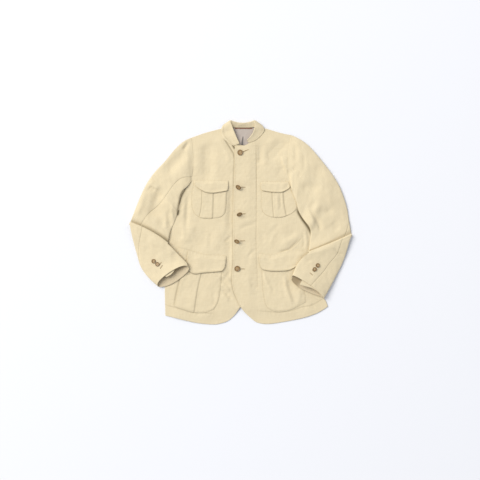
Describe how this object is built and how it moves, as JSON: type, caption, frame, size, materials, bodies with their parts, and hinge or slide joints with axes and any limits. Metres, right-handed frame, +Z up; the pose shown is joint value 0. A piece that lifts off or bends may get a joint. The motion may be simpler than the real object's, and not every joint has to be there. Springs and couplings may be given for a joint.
{
  "type": "linen field jacket, laid flat",
  "caption": "Linen field jacket lying flat, front up, elbows bent and forearms over the body, with flap pockets, a turned-down collar and horn buttons.",
  "frame": {"origin": "on the table under the middle of the jacket's outline", "axes": "+X towards the wearer's left, across the jacket; +Y towards the collar; +Z up from the table"},
  "size_m": [0.7768, 0.7127, 0.0315],
  "materials": {
    "linen": "plain-weave linen, cream",
    "lining": "smooth lining, grey-beige",
    "tape": "woven tape, dark brown",
    "button": "mottled horn, polished"
  },
  "bodies": {
    "root": {"back": "linen", "back_lining": "lining", "neck_tape": "tape", "front_right": "linen", "front_left": "linen", "collar": "linen", "chest_pocket_right": "linen", "chest_pocket_left": "linen", "chest_flap_right": "linen", "chest_flap_left": "linen", "hip_pocket_right": "linen", "hip_pocket_left": "linen", "hip_flap_right": "linen", "hip_flap_left": "linen", "sleeve_right_outer": "linen", "sleeve_right_inner": "linen", "sleeve_left_outer": "linen", "sleeve_left_inner": "linen", "cuff_facing_right": "lining", "cuff_facing_left": "lining", "front_button_1": "button", "front_button_2": "button", "front_button_3": "button", "front_button_4": "button", "front_button_5": "button", "cuff_button_right_1": "button", "cuff_button_right_2": "button", "cuff_button_left_1": "button", "cuff_button_left_2": "button"}
  },
  "joints": []
}
